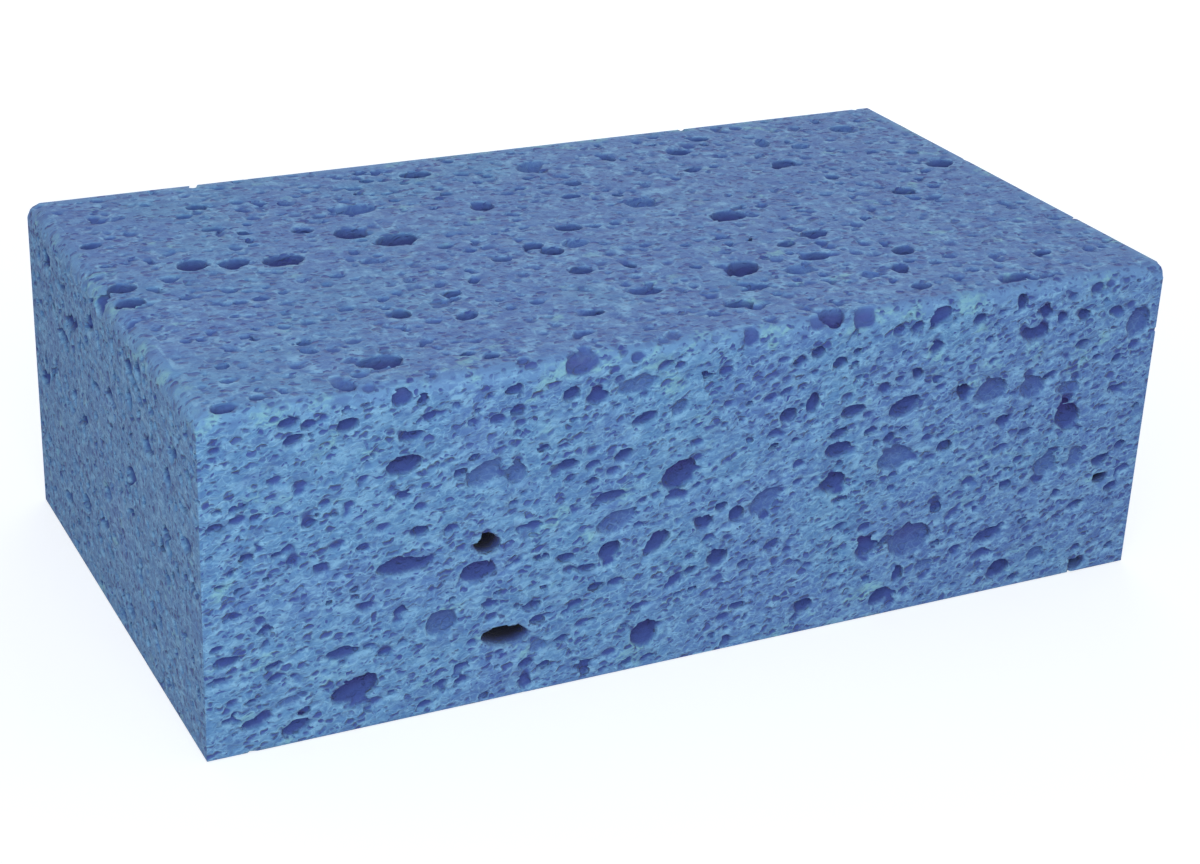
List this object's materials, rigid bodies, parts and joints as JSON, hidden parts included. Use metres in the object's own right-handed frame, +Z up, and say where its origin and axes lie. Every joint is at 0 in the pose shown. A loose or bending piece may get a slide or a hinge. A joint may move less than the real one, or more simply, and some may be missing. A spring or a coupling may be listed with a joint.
{
  "type": "cleaning sponge",
  "caption": "Rectangular block of cellulose foam with open pores of many sizes on every face, held in one hand for washing and wiping.",
  "frame": {"origin": "middle of the underside, on the surface the sponge lies on", "axes": "+X along the length towards the right end, +Y from the front face towards the back, +Z up"},
  "size_m": [0.18, 0.1, 0.06],
  "materials": {
    "foam": "matte open-pored cellulose foam, sky blue on the ridges and violet blue in the pores"
  },
  "bodies": {
    "root": {"sponge_block": "foam"}
  },
  "joints": []
}
